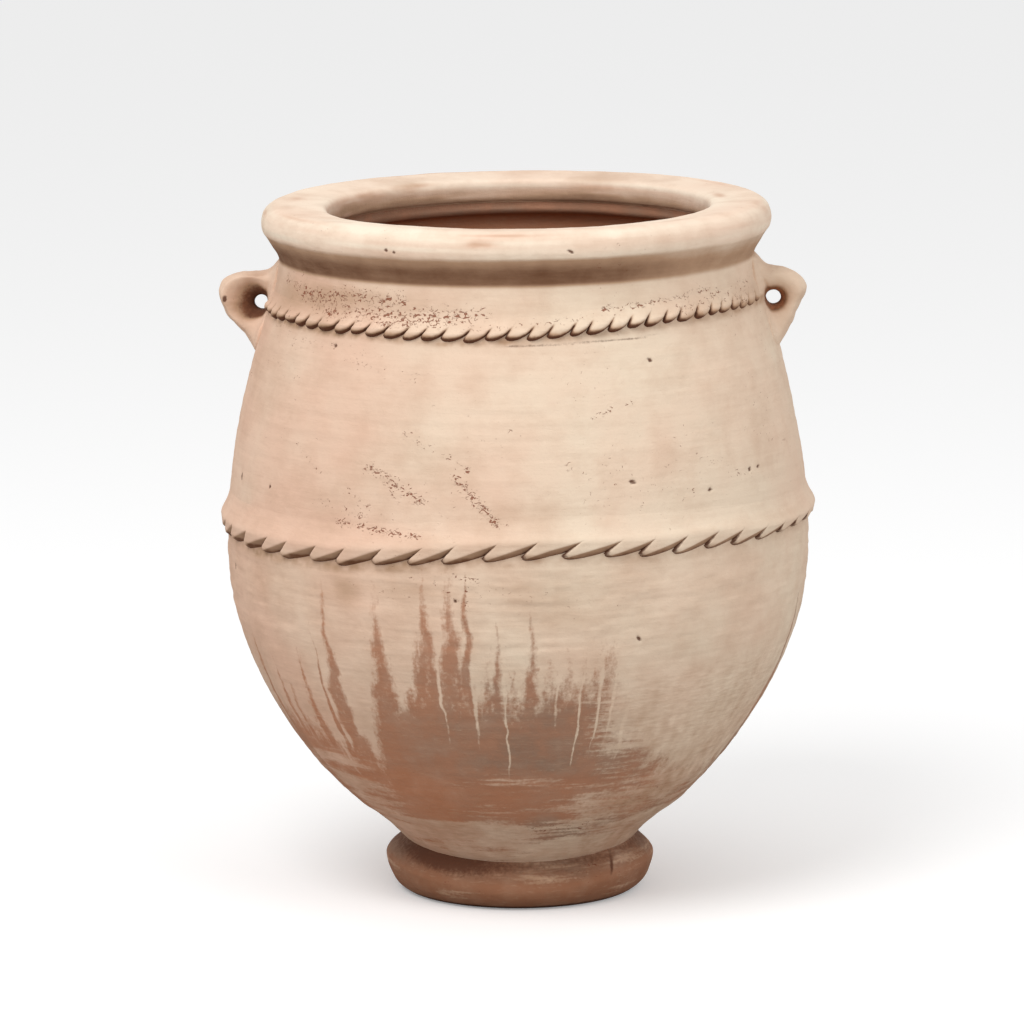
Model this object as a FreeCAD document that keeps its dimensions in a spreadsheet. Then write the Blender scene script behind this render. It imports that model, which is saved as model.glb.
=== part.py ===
import FreeCAD, Part
import math
import os
import re
import Sketcher

# A large fired-clay storage jar, made the way a potter makes it: stages thrown one on another, a foot
# ring, a rolled rim, applied rope bands over the seams and two pierced lugs on the shoulder.
# Frame: origin at the centre of the foot's underside, +Z up, lugs on the X axis. Millimetres.

SIZES = {
    # Wall: an arc below the belly, a flatter arc down to the foot, a flat arc up to the shoulder
    "belly_radius": 288.6,
    "belly_level": 352,
    "belly_arc": 290,
    "bowl_arc": 540,
    "bowl_angle": 28.5,
    "shoulder_arc": 650,
    "shoulder_angle": 16.8,
    "neck_arc": 101,
    "wall_thickness": 24,
    # Levels of the seams between stages
    "foot_seam": 50,
    "band_seam": 385,
    "neck_seam": 592,
    "rim_seam": 645,
    # Neck and rim
    "neck_radius": 235.4,
    "neck_level": 639,
    "neck_inner_radius": 211.4,
    "rim_under_radius": 247.5,
    "rim_under_level": 661,
    "rim_under_arc": 15,
    "rim_radius": 252.5,
    "rim_level": 674,
    "rim_shoulder_arc": 18,
    "rim_crest_radius": 240,
    "rim_crest_arc": 18,
    "overall_height": 690,
    "lip_radius": 197,
    "lip_drop": 5.5,
    "lip_arc": 8.5,
    "mouth_radius": 191,
    "mouth_top": 678,
    "mouth_bottom": 663,
    # Foot ring and floor
    "foot_bottom_radius": 117,
    "foot_radius": 133.5,
    "foot_widest_level": 26,
    "foot_side_arc": 32,
    "foot_edge_radius": 130.5,
    "foot_edge_level": 33,
    "foot_edge_arc": 6,
    "foot_top_arc": 30,
    "foot_inner_radius": 94,
    "floor_underside": 26,
    # Lower rope band: a slashed coil round the widest part
    "lower_band_bottom": 370,
    "lower_band_lip_radius": 291.5,
    "lower_band_lip_level": 373,
    "lower_band_radius": 295.4,
    "lower_band_level": 387,
    "lower_band_top": 408,
    "lower_band_hollow_arc": 42,
    "lower_band_teeth": 48,
    "lower_slash_width": 5,
    "lower_slash_lean": 22,
    "lower_slash_depth": 3.5,
    "lower_slash_top": 392,
    # Upper rope band: a pinched coil from lug to lug
    "upper_band_bottom": 584,
    "upper_band_top": 608,
    "upper_band_arc": 16.6,
    "upper_band_radius": 252.3,
    "upper_band_sweep": 155,
    "upper_band_lobes": 31,
    "upper_pinch_width": 4,
    "upper_pinch_lean": 5,
    "upper_pinch_depth": 4,
    # Pierced lugs
    "lug_thickness": 42,
    "lug_root_radius": 225,
    "lug_root_top": 637,
    "lug_root_bottom": 540,
    "lug_hollow_radius": 247,
    "lug_hollow_level": 624,
    "lug_hollow_arc": 14,
    "lug_shoulder_radius": 268,
    "lug_shoulder_level": 621,
    "lug_tip_radius": 291.2,
    "lug_tip_level": 602,
    "lug_tip_arc": 22,
    "lug_chin_radius": 286,
    "lug_chin_level": 588,
    "lug_chin_arc": 17,
    "lug_plan_shoulder": 262,
    "lug_plan_side_arc": 36,
    "lug_plan_tip_width": 20,
    "lug_plan_tip_arc": 24,
    "lug_hole_centre": 254,
    "lug_hole_level": 591,
    "lug_hole_radius": 7,
    "lug_hole_flare": 5,
}


def bound(text):
    """Gives text, an expression in the sizes' names, with each name written as its sheet cell."""
    return re.sub("[a-z_]+", lambda word: "Sizes." + word[0] if word[0] in SIZES else word[0], text)


def make_sheet(doc):
    sheet = doc.addObject("Spreadsheet::Sheet", "Sizes")
    for row, (name, size) in enumerate(SIZES.items(), start=1):
        sheet.set(f"A{row}", name)
        sheet.set(f"B{row}", str(size))
        sheet.setAlias(f"B{row}", name)
    doc.recompute()
    return sheet


doc = FreeCAD.newDocument("jar")
sheet = make_sheet(doc)


def evaluated(text):
    """Gives the present value of an expression in the sizes' names."""
    return float(sheet.evalExpression(bound(text)))


# Centres of the wall's arcs, each as (radius, level)
BELLY_CENTRE = ("belly_radius - belly_arc", "belly_level")
BOWL_CENTRE = (
    "belly_radius - belly_arc - (bowl_arc - belly_arc) * cos(bowl_angle)",
    "belly_level + (bowl_arc - belly_arc) * sin(bowl_angle)",
)
SHOULDER_CENTRE = ("belly_radius - shoulder_arc", "belly_level")
BOWL_SEAM = "belly_level - belly_arc * sin(bowl_angle)"
SHOULDER_LEVEL = "belly_level + shoulder_arc * sin(shoulder_angle)"
NECK_ARC_LEVEL = "neck_level - neck_arc * sin(shoulder_angle)"


def arc_radius(centre, arc, level):
    """Radius of the wall at a level on an arc whose centre is (radius, level)."""
    return f"({centre[0]} + sqrt(({arc})^2 - ({level} - ({centre[1]}))^2))"


def cone_radius(level, inset="0"):
    """Radius of the straight shoulder, which carries on from the shoulder arc at its own slope."""
    start = f"(belly_radius - shoulder_arc + (shoulder_arc - ({inset})) * cos(shoulder_angle))"
    start_level = f"(belly_level + (shoulder_arc - ({inset})) * sin(shoulder_angle))"
    return f"({start} - ({level} - {start_level}) * tan(shoulder_angle))"


def make_body(label):
    body = doc.addObject("PartDesign::Body", label)
    body.Label = label
    return body


def plane_sketch(body, name, plane_role, offset=None):
    """An empty sketch on one of the body's own origin planes, moved along its normal by offset."""
    plane = next(feature for feature in body.Origin.OriginFeatures if feature.Role == plane_role)
    sketch = body.newObject("Sketcher::SketchObject", name)
    sketch.AttachmentSupport = [(plane, "")]
    sketch.MapMode = "FlatFace"
    if offset:
        sketch.setExpression(".AttachmentOffset.Base.z", bound(offset))
    return sketch


def draw_outline(sketch, corners):
    """Draws a closed outline with every corner bound to the sheet.

    A corner is (across, up) or (across, up, arc, bulge): arc is the radius of the side that leads on
    from it, and bulge is 1 where that side bulges to the right of its way and -1 to the left."""
    places = [FreeCAD.Vector(evaluated(corner[0]), evaluated(corner[1]), 0) for corner in corners]
    count = len(corners)
    ends = []
    for number, corner in enumerate(corners):
        start = places[number]
        end = places[(number + 1) % count]
        if len(corner) == 2:
            side = sketch.addGeometry(Part.LineSegment(start, end))
            ends.append((side, 1, 2))
            continue
        arc, bulge = corner[2:]
        side, start_point, end_point = add_arc(sketch, start, end, evaluated(arc), bulge)
        ends.append((side, start_point, end_point))
        radius_rule = sketch.addConstraint(Sketcher.Constraint("Radius", side, evaluated(arc)))
        sketch.setExpression(f"Constraints[{radius_rule}]", bound(arc))
    for number, corner in enumerate(corners):
        side, start_point, end_point = ends[number]
        next_side, next_start = ends[(number + 1) % count][:2]
        sketch.addConstraint(Sketcher.Constraint("Coincident", side, end_point, next_side, next_start))
        for direction, place in (("DistanceX", 0), ("DistanceY", 1)):
            rule = sketch.addConstraint(
                Sketcher.Constraint(direction, -1, 1, side, start_point, places[number][place])
            )
            sketch.setExpression(f"Constraints[{rule}]", bound(corner[place]))


def add_arc(sketch, start, end, arc, bulge):
    """Adds an arc from start to end, and gives its number and the point numbers of start and end."""
    chord = end.sub(start)
    right = FreeCAD.Vector(chord.y, -chord.x, 0).normalize()
    to_centre = math.sqrt(arc**2 - (chord.Length / 2) ** 2)
    centre = (start + end) * 0.5 - right * (bulge * to_centre)
    circle = Part.Circle(centre, FreeCAD.Vector(0, 0, 1), arc)
    start_angle = math.atan2(start.y - centre.y, start.x - centre.x)
    end_angle = math.atan2(end.y - centre.y, end.x - centre.x)
    if bulge == 1:
        return sketch.addGeometry(Part.ArcOfCircle(circle, start_angle, end_angle)), 1, 2
    return sketch.addGeometry(Part.ArcOfCircle(circle, end_angle, start_angle)), 2, 1


def revolve(body, sketch, sweep="360"):
    turned = body.newObject("PartDesign::Revolution", body.Label + "_turned")
    turned.Profile = sketch
    turned.ReferenceAxis = (sketch, ["V_Axis"])
    turned.setExpression("Angle", bound(sweep))
    body.Tip = turned
    return turned


def turned_piece(label, corners):
    """A ring or disc: an outline of (radius, level) corners turned about the jar's axis."""
    body = make_body(label)
    sketch = plane_sketch(body, label + "_outline", "XZ_Plane")
    draw_outline(sketch, corners)
    revolve(body, sketch)
    return body


def foot_ring():
    wall_foot = arc_radius(BOWL_CENTRE, "bowl_arc", "foot_seam")
    return turned_piece("foot_ring", [
        ("foot_inner_radius", "0"),
        ("foot_bottom_radius", "0", "foot_side_arc", 1),
        ("foot_radius", "foot_widest_level", "foot_edge_arc", 1),
        ("foot_edge_radius", "foot_edge_level", "foot_top_arc", -1),
        (wall_foot, "foot_seam"),
        ("foot_inner_radius", "foot_seam"),
    ])


def base_floor():
    return turned_piece("base_floor", [
        ("0", "floor_underside"),
        ("foot_inner_radius", "floor_underside"),
        ("foot_inner_radius", "foot_seam"),
        ("0", "foot_seam"),
    ])


def bowl_wall():
    inner_arc = "bowl_arc - wall_thickness"
    return turned_piece("bowl_wall", [
        (arc_radius(BOWL_CENTRE, "bowl_arc", "foot_seam"), "foot_seam", "bowl_arc", 1),
        (arc_radius(BOWL_CENTRE, "bowl_arc", BOWL_SEAM), BOWL_SEAM),
        (arc_radius(BOWL_CENTRE, inner_arc, BOWL_SEAM), BOWL_SEAM, inner_arc, -1),
        (arc_radius(BOWL_CENTRE, inner_arc, "foot_seam"), "foot_seam"),
    ])


def belly_wall():
    inner_belly_arc = "belly_arc - wall_thickness"
    inner_shoulder_arc = "shoulder_arc - wall_thickness"
    return turned_piece("belly_wall", [
        (arc_radius(BELLY_CENTRE, "belly_arc", BOWL_SEAM), BOWL_SEAM, "belly_arc", 1),
        ("belly_radius", "belly_level", "shoulder_arc", 1),
        (arc_radius(SHOULDER_CENTRE, "shoulder_arc", "band_seam"), "band_seam"),
        (arc_radius(SHOULDER_CENTRE, inner_shoulder_arc, "band_seam"), "band_seam", inner_shoulder_arc, -1),
        ("belly_radius - wall_thickness", "belly_level", inner_belly_arc, -1),
        (arc_radius(BOWL_CENTRE, "bowl_arc - wall_thickness", BOWL_SEAM), BOWL_SEAM),
    ])


def upper_wall():
    inner_arc = "shoulder_arc - wall_thickness"
    inner_shoulder_level = "belly_level + (shoulder_arc - wall_thickness) * sin(shoulder_angle)"
    return turned_piece("upper_wall", [
        (arc_radius(SHOULDER_CENTRE, "shoulder_arc", "band_seam"), "band_seam", "shoulder_arc", 1),
        (arc_radius(SHOULDER_CENTRE, "shoulder_arc", SHOULDER_LEVEL), SHOULDER_LEVEL),
        (cone_radius("neck_seam"), "neck_seam"),
        (cone_radius("neck_seam", "wall_thickness"), "neck_seam"),
        (arc_radius(SHOULDER_CENTRE, inner_arc, inner_shoulder_level), inner_shoulder_level, inner_arc, -1),
        (arc_radius(SHOULDER_CENTRE, inner_arc, "band_seam"), "band_seam"),
    ])


def neck_outline():
    """The outer line of the neck, from its seam up to the rim's, that the lugs are fitted to as well."""
    return [
        (cone_radius(NECK_ARC_LEVEL), NECK_ARC_LEVEL, "neck_arc", -1),
        ("neck_radius", "neck_level"),
        ("neck_radius", "rim_seam"),
    ]


def neck_collar():
    return turned_piece("neck_collar", [
        (cone_radius("neck_seam"), "neck_seam"),
        *neck_outline(),
        ("neck_inner_radius", "rim_seam"),
        (cone_radius("neck_seam", "wall_thickness"), "neck_seam"),
    ])


def rim_roll():
    return turned_piece("rim_roll", [
        ("neck_radius", "rim_seam", "rim_under_arc", -1),
        ("rim_under_radius", "rim_under_level", "rim_shoulder_arc", 1),
        ("rim_radius", "rim_level", "rim_crest_arc", 1),
        ("rim_crest_radius", "overall_height"),
        ("lip_radius", "overall_height - lip_drop", "lip_arc", 1),
        ("mouth_radius", "mouth_top"),
        ("mouth_radius", "mouth_bottom"),
        ("neck_inner_radius", "rim_seam"),
    ])


def cut_slot(body, shape, reach):
    """Cuts one leaning slot across a band, at the start of its sweep.

    shape is (bottom, top, lean, width) and reach is how far from the axis the slot's floor lies."""
    bottom, top, lean, width = shape
    sketch = plane_sketch(body, body.Label + "_slot", "YZ_Plane", reach)
    draw_outline(sketch, [
        (f"-({lean}) / 2 - ({width}) / 2", bottom),
        (f"-({lean}) / 2 + ({width}) / 2", bottom),
        (f"({lean}) / 2 + ({width}) / 2", top),
        (f"({lean}) / 2 - ({width}) / 2", top),
    ])
    slot = body.newObject("PartDesign::Pocket", body.Label + "_slot_cut")
    slot.Profile = sketch
    slot.Type = "ThroughAll"
    slot.Reversed = True
    body.Tip = slot
    return slot


def repeat_slot(body, ring_sketch, slot, sweep, occurrences):
    pattern = body.newObject("PartDesign::PolarPattern", body.Label + "_slots")
    pattern.Originals = [slot]
    pattern.Axis = (ring_sketch, ["V_Axis"])
    pattern.setExpression("Angle", bound(sweep))
    pattern.setExpression("Occurrences", bound(occurrences))
    body.Tip = pattern
    return pattern


def lower_rope_band():
    """A coil with a fading upper side and a crisp lower edge, cut by leaning slashes all round."""
    body = make_body("lower_rope_band")
    sketch = plane_sketch(body, "lower_rope_band_outline", "XZ_Plane")
    draw_outline(sketch, [
        (arc_radius(SHOULDER_CENTRE, "shoulder_arc", "lower_band_bottom"), "lower_band_bottom"),
        ("lower_band_lip_radius", "lower_band_lip_level"),
        ("lower_band_radius", "lower_band_level", "lower_band_hollow_arc", -1),
        (arc_radius(SHOULDER_CENTRE, "shoulder_arc", "lower_band_top"), "lower_band_top", "shoulder_arc", -1),
    ])
    revolve(body, sketch)
    shape = ("lower_band_bottom", "lower_slash_top", "lower_slash_lean", "lower_slash_width")
    slot = cut_slot(body, shape, "lower_band_radius - lower_slash_depth")
    repeat_slot(body, sketch, slot, "360", "lower_band_teeth")
    return body


def upper_rope_band(label, start_angle):
    """Half of the pinched coil, from one lug to the other, turned into place from the X axis."""
    body = make_body(label)
    sketch = plane_sketch(body, label + "_outline", "XZ_Plane")
    draw_outline(sketch, [
        (cone_radius("upper_band_bottom"), "upper_band_bottom", "upper_band_arc", 1),
        (cone_radius("upper_band_top"), "upper_band_top"),
    ])
    revolve(body, sketch, "upper_band_sweep")
    shape = ("upper_band_bottom", "upper_band_top", "upper_pinch_lean", "upper_pinch_width")
    slot = cut_slot(body, shape, "upper_band_radius - upper_pinch_depth")
    repeat_slot(body, sketch, slot, "upper_band_sweep", "upper_band_lobes + 1")
    body.Placement = FreeCAD.Placement(
        FreeCAD.Vector(0, 0, 0), FreeCAD.Rotation(FreeCAD.Vector(0, 0, 1), start_angle)
    )
    return body


def wall_envelope():
    """The jar's outside at the lugs' height, as a solid to fit the lugs' roots against."""
    envelope = turned_piece("wall_envelope", [
        ("0", "band_seam"),
        (arc_radius(SHOULDER_CENTRE, "shoulder_arc", "band_seam"), "band_seam", "shoulder_arc", 1),
        (arc_radius(SHOULDER_CENTRE, "shoulder_arc", SHOULDER_LEVEL), SHOULDER_LEVEL),
        *neck_outline(),
        ("0", "rim_seam"),
    ])
    return envelope


def lug_side():
    """The ear on the +X side as seen from the front, before it is rounded and fitted to the wall."""
    body = make_body("lug_side")
    sketch = plane_sketch(body, "lug_side_outline", "XZ_Plane")
    draw_outline(sketch, [
        ("lug_root_radius", "lug_root_bottom"),
        ("neck_radius + wall_thickness", "lug_root_bottom"),
        ("lug_chin_radius", "lug_chin_level", "lug_chin_arc", 1),
        ("lug_tip_radius", "lug_tip_level", "lug_tip_arc", 1),
        ("lug_shoulder_radius", "lug_shoulder_level"),
        ("lug_hollow_radius", "lug_hollow_level", "lug_hollow_arc", -1),
        ("neck_radius", "lug_root_top"),
        ("lug_root_radius", "lug_root_top"),
    ])
    ear = body.newObject("PartDesign::Pad", "lug_ear")
    ear.Profile = sketch
    ear.SideType = "Symmetric"
    ear.setExpression("Length", bound("lug_thickness"))
    body.Tip = ear
    return body


def lug_plan():
    """The ear's rounded shape as seen from above, as a prism that the side shape is trimmed to."""
    body = make_body("lug_plan")
    sketch = plane_sketch(body, "lug_plan_outline", "XY_Plane")
    draw_outline(sketch, [
        ("lug_root_radius", "-lug_thickness / 2"),
        ("lug_plan_shoulder", "-lug_thickness / 2", "lug_plan_side_arc", 1),
        ("lug_tip_radius", "-lug_plan_tip_width / 2", "lug_plan_tip_arc", 1),
        ("lug_tip_radius", "lug_plan_tip_width / 2", "lug_plan_side_arc", 1),
        ("lug_plan_shoulder", "lug_thickness / 2"),
        ("lug_root_radius", "lug_thickness / 2"),
    ])
    prism = body.newObject("PartDesign::Pad", "lug_plan_prism")
    prism.Profile = sketch
    prism.setExpression("Length", bound("overall_height"))
    body.Tip = prism
    return body


def pierce_lug(body):
    """The finger hole through the ear, parallel to Y, with both mouths flared."""
    sketch = plane_sketch(body, "lug_hole_outline", "XZ_Plane")
    circle = Part.Circle(
        FreeCAD.Vector(evaluated("lug_hole_centre"), evaluated("lug_hole_level"), 0),
        FreeCAD.Vector(0, 0, 1),
        evaluated("lug_hole_radius"),
    )
    ring = sketch.addGeometry(circle)
    rules = (
        (("DistanceX", -1, 1, ring, 3), "lug_hole_centre"),
        (("DistanceY", -1, 1, ring, 3), "lug_hole_level"),
        (("Radius", ring), "lug_hole_radius"),
    )
    for rule, size in rules:
        number = sketch.addConstraint(Sketcher.Constraint(*rule, evaluated(size)))
        sketch.setExpression(f"Constraints[{number}]", bound(size))
    hole = body.newObject("PartDesign::Pocket", "lug_hole")
    hole.Profile = sketch
    hole.Type = "ThroughAll"
    hole.SideType = "Symmetric"
    body.Tip = hole
    doc.recompute()
    mouths = []
    for number, edge in enumerate(hole.Shape.Edges, start=1):
        is_circle = isinstance(edge.Curve, Part.Circle)
        if is_circle and abs(edge.Curve.Radius - evaluated("lug_hole_radius")) < 0.001:
            mouths.append(f"Edge{number}")
    flare = body.newObject("PartDesign::Chamfer", "lug_hole_flare")
    flare.Base = (hole, mouths)
    flare.setExpression("Size", bound("lug_hole_flare"))
    body.Tip = flare


def lug_handle(label, ear, envelope, turn):
    """The ear with its root fitted to the wall, turned about the jar's axis to its own side."""
    fitted = doc.addObject("Part::Cut", label)
    fitted.Label = label
    fitted.Base = ear
    fitted.Tool = envelope
    fitted.Placement = FreeCAD.Placement(
        FreeCAD.Vector(0, 0, 0), FreeCAD.Rotation(FreeCAD.Vector(0, 0, 1), turn)
    )
    return fitted


def make_lugs():
    envelope = wall_envelope()
    side = lug_side()
    pierce_lug(side)
    ear = doc.addObject("Part::Common", "lug_ear_rounded")
    ear.Base = side
    ear.Tool = lug_plan()
    return [
        lug_handle("right_lug_handle", ear, envelope, 0),
        lug_handle("left_lug_handle", ear, envelope, 180),
    ]


def check_document():
    for feature in doc.Objects:
        if "Invalid" in feature.State or "Error" in feature.State:
            raise RuntimeError(f"{feature.Label} failed: {feature.State}")


def write_piece(piece):
    shape = piece.Shape
    if shape.isNull() or not shape.isValid() or not shape.Solids:
        raise RuntimeError(f"{piece.Label} has no valid solid")
    shape.exportStep(os.path.join("parts", piece.Label + ".step"))
    print(piece.Label, len(shape.Solids), "solid,", round(shape.Volume / 1e6, 3), "litres of clay")


lug_gap = (180 - SIZES["upper_band_sweep"]) / 2
pieces = [
    foot_ring(),
    base_floor(),
    bowl_wall(),
    belly_wall(),
    upper_wall(),
    neck_collar(),
    rim_roll(),
    lower_rope_band(),
    upper_rope_band("upper_rope_band_back", lug_gap),
    upper_rope_band("upper_rope_band_front", 180 + lug_gap),
    *make_lugs(),
]
doc.recompute()
check_document()
os.makedirs("parts", exist_ok=True)
for piece in pieces:
    write_piece(piece)
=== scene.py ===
import math

import bpy
import numpy as np
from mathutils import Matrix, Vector


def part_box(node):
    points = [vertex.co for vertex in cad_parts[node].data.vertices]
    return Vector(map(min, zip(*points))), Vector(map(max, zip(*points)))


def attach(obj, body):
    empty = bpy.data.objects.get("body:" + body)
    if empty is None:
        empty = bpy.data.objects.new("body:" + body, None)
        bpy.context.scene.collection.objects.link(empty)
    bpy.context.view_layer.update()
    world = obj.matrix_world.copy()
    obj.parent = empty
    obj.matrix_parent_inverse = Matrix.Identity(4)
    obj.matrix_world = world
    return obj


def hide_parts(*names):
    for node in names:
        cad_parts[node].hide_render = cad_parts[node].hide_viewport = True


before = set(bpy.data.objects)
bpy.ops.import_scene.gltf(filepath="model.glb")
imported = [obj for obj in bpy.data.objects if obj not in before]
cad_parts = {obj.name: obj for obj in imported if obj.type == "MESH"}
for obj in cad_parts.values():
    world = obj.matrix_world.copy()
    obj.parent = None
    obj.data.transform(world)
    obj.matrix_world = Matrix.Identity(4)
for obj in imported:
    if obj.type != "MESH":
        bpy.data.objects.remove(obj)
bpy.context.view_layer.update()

# A large fired-clay storage jar. All shapes are worked out in millimetres from the frame's own sizes and
# turned to metres when a mesh is made. "Azimuth" is the angle round the jar in degrees: 0 faces the
# camera, positive is to its right. "Level" is height above the ground. "Skin" is the jar's surface from
# the foot up the outside, over the rim and down the inside; a place on it is a distance along it.

MM = 0.001
SEED = 7
LUG_TURN = 3.5  # degrees the camera stands to the right of square on to the lugs
FULL_TURN = 360


def top_level(node):
    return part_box(node)[1].z / MM


def widest(node):
    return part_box(node)[1].x / MM


FOOT_SEAM = top_level("foot_ring")
BOWL_SEAM = top_level("bowl_wall")
BAND_SEAM = top_level("belly_wall")
NECK_SEAM = top_level("upper_wall")
RIM_SEAM = top_level("neck_collar")
HEIGHT = top_level("rim_roll")
BELLY = widest("belly_wall")
RIM = widest("rim_roll")
FOOT = widest("foot_ring")
FLOOR_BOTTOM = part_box("base_floor")[0].z / MM
FLOOR_RADIUS = widest("base_floor")
LOWER_BAND_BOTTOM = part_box("lower_rope_band")[0].z / MM
UPPER_BAND_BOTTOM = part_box("upper_rope_band_front")[0].z / MM


# -------- curves and noise

def smooth_curve(stations, spacing):
    """Points at even spacing along a smooth curve (Catmull-Rom) through the stations, and the distance
    of each along the curve."""
    steps = 24
    stations = np.array(stations, float)
    first = 2 * stations[0] - stations[1]
    last = 2 * stations[-1] - stations[-2]
    knots = np.vstack([first, stations, last])
    pieces = []
    for index in range(1, len(knots) - 2):
        before, start, end, after = knots[index - 1:index + 3]
        gap = max(np.linalg.norm(end - start), 1e-6)
        slope_in = (end - before) / (gap + np.linalg.norm(start - before)) * gap
        slope_out = (after - start) / (gap + np.linalg.norm(after - end)) * gap
        part = np.linspace(0, 1, steps, endpoint=False)[:, None]
        pieces.append(
            (2 * part**3 - 3 * part**2 + 1) * start
            + (part**3 - 2 * part**2 + part) * slope_in
            + (3 * part**2 - 2 * part**3) * end
            + (part**3 - part**2) * slope_out
        )
    dense = np.vstack(pieces + [stations[-1:]])
    lengths = np.concatenate([[0], np.cumsum(np.linalg.norm(np.diff(dense, axis=0), axis=1))])
    places = np.arange(0, lengths[-1], spacing)
    return np.stack([np.interp(places, lengths, dense[:, axis]) for axis in range(2)], axis=1), places


def make_noise(seed):
    side = 32
    lattice = np.random.default_rng(seed).random((side, side, side)) * 2 - 1

    def noise(points, scale):
        """Smooth noise from -1 to 1; scale is the size of its lumps in millimetres, one or three."""
        place = points / np.array(scale, float)
        cell = np.floor(place).astype(int)
        part = place - cell
        part = part * part * (3 - 2 * part)
        total = 0
        for corner in np.ndindex(2, 2, 2):
            weight = np.prod(np.where(corner, part, 1 - part), axis=-1)
            index = (cell + corner) % side
            total = total + weight * lattice[index[..., 0], index[..., 1], index[..., 2]]
        return total

    return noise


noise = make_noise(SEED)


def limit(value):
    return np.clip(value, 0, 1)


def ramp(low, high, value):
    """Goes smoothly from 0 at low to 1 at high."""
    part = limit((value - low) / (high - low))
    return part * part * (3 - 2 * part)


def window(value, start, full, fall, end):
    """Goes smoothly from 0 at start to 1 at full, and from 1 at fall back to 0 at end."""
    return ramp(start, full, value) * ramp(end, fall, value)


def smooth_min(first, second, softness):
    """The smaller of two values, with the corner between them rounded off."""
    blend = limit(0.5 + 0.5 * (second - first) / softness)
    return second * (1 - blend) + first * blend - softness * blend * (1 - blend)


def bump(value, centre, width):
    return np.exp(-(((value - centre) / width) ** 2))


def wrap(azimuth):
    """Brings an azimuth into the range from -180 to 180."""
    return (azimuth + FULL_TURN / 2) % FULL_TURN - FULL_TURN / 2


def read_round(azimuth, stations):
    """Reads a curve round the jar, given as stations of azimuth and value."""
    azimuths, values = zip(*stations)
    return np.interp(wrap(azimuth), azimuths, values)


def spot(azimuth, height, place):
    """A soft oval spot; place holds its azimuth, its height, half its width and height, and its strength."""
    middle, middle_height, half_width, half_height, strength = place
    across = bump(wrap(azimuth - middle), 0, half_width)
    return strength * across * bump(height, middle_height, half_height)


def all_round(columns):
    """Evenly spaced azimuths, once round the jar."""
    return np.linspace(-FULL_TURN / 2, FULL_TURN / 2, columns, endpoint=False)


# -------- the jar's section

OUTSIDE = [
    (116, FOOT_SEAM), (138.5, 73), (167.5, 97), (201, 133), (235.6, 181), (261, 228),
    (278.6, 275), (286.2, 312), (BELLY, 352), (287.8, 384), (284.6, 420), (279.4, 457),
    (270, 503), (261, 540), (245.5, 591), (239, 612), (235.8, 630), (235.3, 637),
    (237.4, 643), (242, 650.5), (246.4, 657.5), (249.2, 662), (251.2, 664.8), (252.3, 668.5),
    (RIM, 674), (250.3, 681.5), (246, 686.5),
]
CREST = (238, HEIGHT)
INSIDE = [
    (222, 689.2), (206, 687.8), (199, 686.9), (194.8, 685.4), (192.2, 682.4), (191, 677), (191, 669),
    (192.3, 665.5), (194.4, 663.6),
    (195.6, 660), (196.2, 654.5), (198.6, 651.3), (204, 649.6), (209.5, 646.5), (212.5, 640), (215, 625),
    (221, 592), (238, 540), (254, 480), (262.5, 420), (264.6, 352),
    (254, 275), (236, 218), (204, 165), (160, 115), (110, 75), (77, FOOT_SEAM),
]
SKIN_STEP = 0.5
skin_line, skin_places = smooth_curve(OUTSIDE + [CREST] + INSIDE, SKIN_STEP)
crest_index = int(np.argmax(skin_line[:, 1]))
tangents = np.gradient(skin_line, axis=0)
tangents /= np.linalg.norm(tangents, axis=1)[:, None]
skin_normals = np.stack([tangents[:, 1], -tangents[:, 0]], axis=1)


def outer_place(level):
    """Distance along the skin where the outside passes a level."""
    return np.interp(level, skin_line[:crest_index, 1], skin_places[:crest_index])


def inner_place(level):
    levels = skin_line[crest_index:, 1][::-1]
    return np.interp(level, levels, skin_places[crest_index:][::-1])


CREST_PLACE = skin_places[crest_index]


def section(places):
    """Radius, level and the two parts of the normal at places along the skin."""
    columns = np.hstack([skin_line, skin_normals]).T
    return [np.interp(places, skin_places, column) for column in columns]


# -------- handmade unevenness

# How far each hand-laid band strays from its level: azimuth and millimetres
LOWER_STRAYS = [
    (-180, 0), (-90, -3.5), (-37, -1.5), (-22, 3.5), (-7, 9), (6, 11.5), (30, 7), (58, 7.5), (90, 7),
    (130, 2), (180, 0),
]
UPPER_STRAYS = [
    (-180, 5), (-90, 2), (-30, 1), (-15, -0.5), (0, 1), (10, 3.4), (20, 6), (40, 10), (70, 11), (90, 9),
    (180, 5),
]

TILT = 0.009  # the throwing stages sit a little higher on the camera's right
OVAL = 0.9
FOOT_SAG = 6
LIP_PUSH = 4.5  # the mouth's edge stands further in on the camera's left


def place_round(radius, level, azimuth):
    """Turns radius, level and azimuth into a point in the frame."""
    angle = np.radians(azimuth - 90 + LUG_TURN)
    return np.stack([radius * np.cos(angle), radius * np.sin(angle), level + 0 * angle], axis=-1)


def handmade(radius, level, azimuth):
    """The point for a place on an ideal jar, moved by the jar's overall unevenness."""
    turn = np.radians(azimuth)
    rise = limit(level / HEIGHT)
    uneven = OVAL * np.cos(2 * turn + 0.6) * rise + 0.6 * np.cos(3 * turn + 4 * rise)
    lip = ramp(228, 200, radius) * ramp(620, 655, level)
    uneven = uneven - LIP_PUSH * lip * limit(-np.sin(turn)) ** 2
    tilt = TILT * radius * np.sin(turn) * ramp(20, 160, level)
    foot_share = ramp(0, 26, level) * (1 - 0.5 * ramp(26, 50, level))
    sag = -FOOT_SAG * np.cos(2 * turn) * foot_share * (1 - ramp(50, 110, level))
    return place_round(radius + uneven * ramp(0, 60, level), level + tilt + sag, azimuth)


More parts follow.
